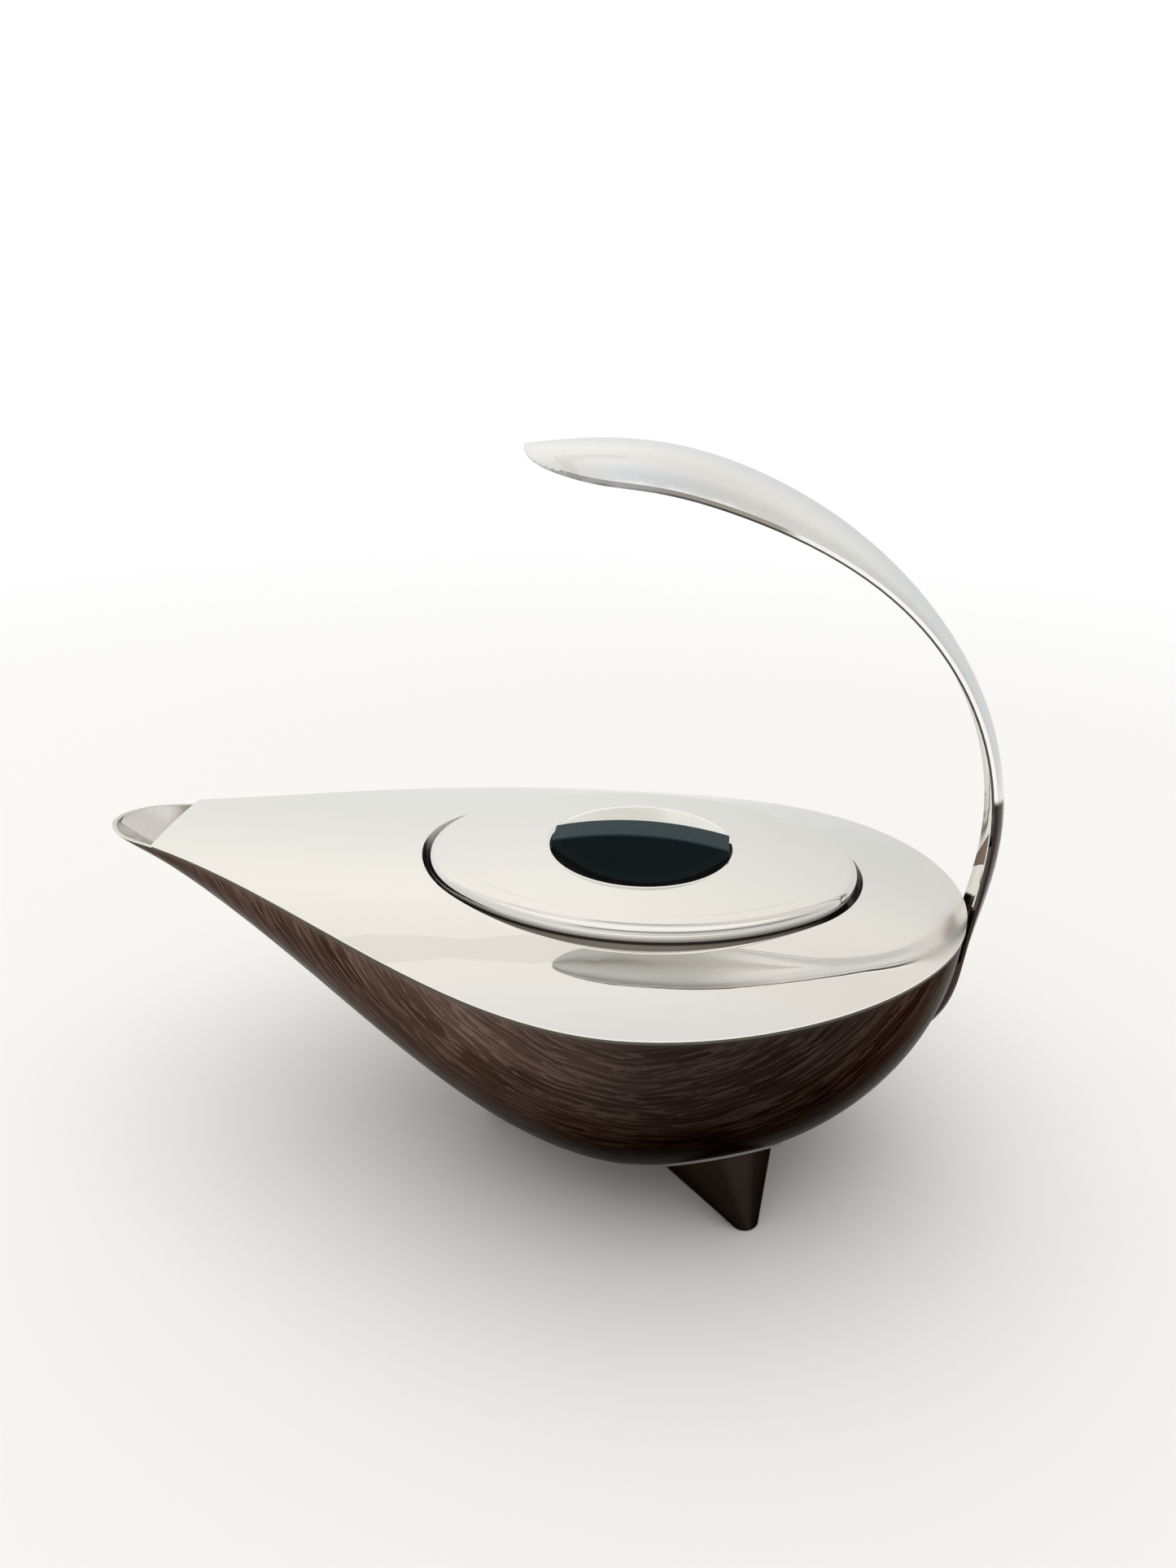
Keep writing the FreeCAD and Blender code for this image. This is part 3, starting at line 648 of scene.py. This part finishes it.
def painted_reflection_bowl(name):
    """Silver with a painted reflection of a dark wooden table outside: dark brown, fine streaks in wide arcs
    below the rim, and painted shade low down and toward the handle; plain silver inside.
    """
    made, tree, shader = metal(name, SILVER)
    shader.inputs["Specular Tint"].default_value = solid(DARK_EDGE)
    where = place(tree)
    normal = facing(tree)
    along, across, height = split(tree, where)
    offset = vector_node(tree, "SUBTRACT", where, tuple(BOWL_MIDDLE))
    from_middle = split(tree, offset)[0]

    fine = streaks(tree, where, FINE_STREAKS)
    grain = math_node(tree, "ADD", streaks(tree, where, BROAD_STREAKS), fine)
    # The brown is a painted reflection of a dark wooden table, with pale hair lines and a paler band under
    # the rim
    brown = ramp(tree, math_node(tree, "MULTIPLY", grain, 0.5), REFLECTED_BROWN_STOPS)
    hair = math_node(tree, "SUBTRACT", streaks(tree, where, HAIR_STREAKS), HAIR_LEVEL)
    hair = spread(tree, math_node(tree, "ABSOLUTE", hair), HAIR_WIDTH, HAIR_SHARE)
    brown = blend(tree, hair, brown, solid(REFLECTED_STREAK_PALE))
    rim = spread(tree, below_deck(tree, where), RIM_DEPTH, RIM_SHARE)
    brown = blend(tree, rim, brown, solid(RIM_REFLECTED_BROWN))
    # Painted shade: darker toward the handle end and toward the bottom
    front = spread(tree, from_middle, FRONT_ALONG, FRONT_SHADE)
    back = spread(tree, from_middle, BACK_ALONG, BACK_SHADE)
    low = spread(tree, height, LOW_HEIGHT, LOW_SHADE)
    shade = both(tree, math_node(tree, "ADD", front, back), low)
    brown = blend(tree, shade, solid(BLACK), brown)

    slope = vector_node(tree, "DIVIDE", offset, tuple(axis * axis for axis in BOWL_AXES))
    outward = vector_node(tree, "NORMALIZE", slope)
    inside = under(tree, vector_node(tree, "DOT_PRODUCT", normal, outward), 0.0)
    plain = either(tree, inside, over(tree, split(tree, normal)[2], RIM_TOP_RISE))
    tree.links.new(blend(tree, plain, brown, solid(SILVER)), shader.inputs["Base Color"])
    lip = both(tree, inside, under(tree, along, LIP_END))
    corner = spread(tree, along, CORNER_ALONG, CORNER_SHARE)
    corner = both(tree, corner, spread(tree, across, CORNER_ACROSS))
    # Painted shade on the far half of the lip's inside, and a painted reflection of the table in its far
    # corner
    paint(tree, shader, both(tree, lip, spread(tree, across, LIP_SILVER_ACROSS)), LIP_SHADED_SILVER)
    paint(tree, shader, both(tree, lip, corner), LIP_REFLECTED_BROWN)

    rough = spread(tree, fine, FINE_SPAN, HULL_ROUGH)
    rough = math_node(tree, "MULTIPLY_ADD", plain, SILVER_SMOOTHER, rough)
    rough = math_node(tree, "MULTIPLY_ADD", lip, LIP_ROUGHER, rough)
    tree.links.new(rough, shader.inputs["Roughness"])
    return made


def foot_metal(name):
    """Smooth metal painted almost black brown as a reflection of a dark table, with a painted sheen toward
    one side.
    """
    made, tree, shader = metal(name, FOOT_REFLECTED_BROWN)
    shader.inputs["Specular Tint"].default_value = solid(DARK_EDGE)
    toward = vector_node(tree, "DOT_PRODUCT", facing(tree), FOOT_LIGHT)
    # Painted sheen on the faces that look toward one side
    paint(tree, shader, spread(tree, toward, FOOT_SHEEN_SPAN), FOOT_PAINTED_SHEEN)
    grained(tree, shader, FOOT_GRAIN, FOOT_ROUGH)
    return made


def plate_metal(name):
    """Thin plate between hull and foot, painted dark grey as a reflection, polished only a little."""
    made, _, shader = polished_silver(name, PLATE_ROUGH)
    shader.inputs["Base Color"].default_value = solid(PLATE_REFLECTED_GREY)
    return made


def fin_plastic(name):
    """Matte blue-black fin with a very fine grain, a top painted paler as light, a band painted lighter just
    above the dish, and a thin line of painted shade along the dish.
    """
    made, tree, shader = material(name)
    shader.inputs["Base Color"].default_value = solid(FIN_BLACK)
    shader.inputs["Specular IOR Level"].default_value = FIN_SPECULAR
    rise = facing_up(tree)
    offset = vector_node(tree, "SUBTRACT", place(tree), tuple(DISH_CENTRE))
    above = math_node(tree, "SUBTRACT", DISH_CURVE, vector_node(tree, "LENGTH", offset))
    face = under(tree, rise, UPRIGHT)
    # Painted light: a paler top, a lighter band just above the dish and a line of shade along it
    paint(tree, shader, spread(tree, rise, FIN_TOP_RISE), FIN_TOP_LIGHT)
    paint(tree, shader, both(tree, face, spread(tree, above, FIN_FOOT_ABOVE, FALLING)), FIN_FOOT_LIGHT)
    paint(tree, shader, both(tree, face, spread(tree, above, FIN_SEAM_ABOVE, FALLING)), FIN_SEAM_SHADE)
    grained(tree, shader, FIN_GRAIN, FIN_ROUGH)
    return made


def turned_steel(name):
    """Plain steel with fine turning marks."""
    made, tree, shader = metal(name, STEEL)
    grained(tree, shader, STEEL_GRAIN, STEEL_ROUGH)
    return made


def dress():
    """Gives each piece its material and smooth shading."""
    sheet = polished_silver("sheet_silver")[0]
    foot = foot_metal("foot_metal")
    plate = plate_metal("plate_metal")
    seat = seat_silver("seat_silver")
    steel = turned_steel("turned_steel")
    finishes = {
        "hull_shell": painted_reflection_bowl("painted_reflection_bowl"),
        "deck_plate": deck_silver("deck_silver"),
        "handle_leaf": handle_silver("handle_silver"),
        "lid_bead": bead_silver("bead_silver"),
        "finger_dish": dish_silver("dish_silver"),
        "knob_fin": fin_plastic("fin_plastic"),
        "foot_front": foot, "foot_left": foot, "foot_right": foot,
        "foot_front_plate": plate, "foot_left_plate": plate, "foot_right_plate": plate,
        "lid_collar": seat, "lid_ledge": seat, "lid_skirt": skirt_satin("skirt_satin"),
        "knob_washers": steel, "knob_screws": steel,
    }
    for name, node in nodes.items():
        node.data.materials.clear()
        node.data.materials.append(finishes.get(name, sheet))
        for face in node.data.polygons:
            face.use_smooth = True


def camera():
    """The photograph's view."""
    pitch, yaw, roll = CAMERA_PITCH, CAMERA_YAW, CAMERA_ROLL
    ahead = Vector((-math.sin(yaw) * math.cos(pitch), math.cos(yaw) * math.cos(pitch), -math.sin(pitch)))
    level = Vector((math.cos(yaw), math.sin(yaw), 0.0))
    upright = level.cross(ahead)
    right = math.cos(roll) * level + math.sin(roll) * upright
    up = math.cos(roll) * upright - math.sin(roll) * level
    data = bpy.data.cameras.new("photo_camera")
    data.sensor_width = SENSOR
    data.lens = FOCAL_PIXELS / PHOTO_HEIGHT * SENSOR
    data.clip_start = CAMERA_NEAREST
    eye = bpy.data.objects.new("photo_camera", data)
    turn = Matrix((right, up, -ahead)).transposed()
    eye.matrix_world = Matrix.Translation(CAMERA_PLACE) @ turn.to_4x4()
    bpy.context.scene.collection.objects.link(eye)
    bpy.context.scene.camera = eye


def floor():
    """A pale floor that fades into the white surroundings away from the pot."""
    mesh = bpy.data.meshes.new("floor")
    corners = [(FLOOR_HALF * x, FLOOR_HALF * y, 0) for x, y in ((-1, -1), (1, -1), (1, 1), (-1, 1))]
    mesh.from_pydata(corners, [], [(0, 1, 2, 3)])
    plane = bpy.data.objects.new("floor", mesh)
    bpy.context.scene.collection.objects.link(plane)
    made, tree, shader = material("floor")
    shader.inputs["Base Color"].default_value = solid(FLOOR_PALE)
    shader.inputs["Roughness"].default_value = FLOOR_ROUGH
    shader.inputs["Specular IOR Level"].default_value = 0.0
    distance = vector_node(tree, "LENGTH", place(tree))
    tree.links.new(spread(tree, distance, FLOOR_FADE, FALLING), shader.inputs["Alpha"])
    mesh.materials.append(made)


def world():
    """White to the camera. The metal sees a pale room, darker to the right and behind the camera."""
    scene = bpy.context.scene
    scene.world = bpy.data.worlds.new("studio")
    scene.world.use_nodes = True
    tree = scene.world.node_tree
    back = tree.nodes["Background"]
    rays = add(tree, "ShaderNodeLightPath").outputs
    seen = either(tree, rays["Is Camera Ray"], rays["Is Glossy Ray"])
    seen = either(tree, seen, rays["Is Transmission Ray"])
    feed(tree, back.inputs["Strength"], spread(tree, seen, (0.0, 1.0), ROOM_STRENGTH))
    sideways, ahead, upward = split(tree, add(tree, "ShaderNodeTexCoord").outputs["Generated"])
    side = spread(tree, sideways, ROOM_SIDE, ROOM_SIDE_SHADE)
    front = spread(tree, ahead, ROOM_AHEAD, ROOM_AHEAD_SHADE)
    room = blend(tree, both(tree, side, front), solid(BLACK), ramp(tree, upward, SKY_STOPS))
    band = both(tree, spread(tree, upward, SKY_BAND_FROM), spread(tree, upward, SKY_BAND_TO, FALLING))
    band = both(tree, band, spread(tree, sideways, SKY_BAND_SIDE, SKY_BAND_SHARE))
    room = blend(tree, band, room, solid(BLACK))
    window = both(tree, spread(tree, ahead, WINDOW_AHEAD, FALLING), spread(tree, upward, WINDOW_UP))
    room = blend(tree, window, room, solid(WINDOW))
    feed(tree, back.inputs["Color"], blend(tree, rays["Is Camera Ray"], room, solid(WHITE)))


def softbox():
    """One soft lamp overhead, which the metal doesn't mirror."""
    data = bpy.data.lights.new("overhead", "AREA")
    data.shape = "RECTANGLE"
    data.size = LAMP_SIDE
    data.size_y = LAMP_SIDE
    data.energy = LAMP_POWER
    lamp = bpy.data.objects.new("overhead", data)
    lamp.location = LAMP_PLACE
    lamp.visible_glossy = False
    lamp.rotation_euler = (LAMP_AIM - LAMP_PLACE).to_track_quat("-Z", "Y").to_euler()
    bpy.context.scene.collection.objects.link(lamp)


dress()
camera()
floor()
world()
softbox()
bpy.context.scene.view_settings.view_transform = "Standard"
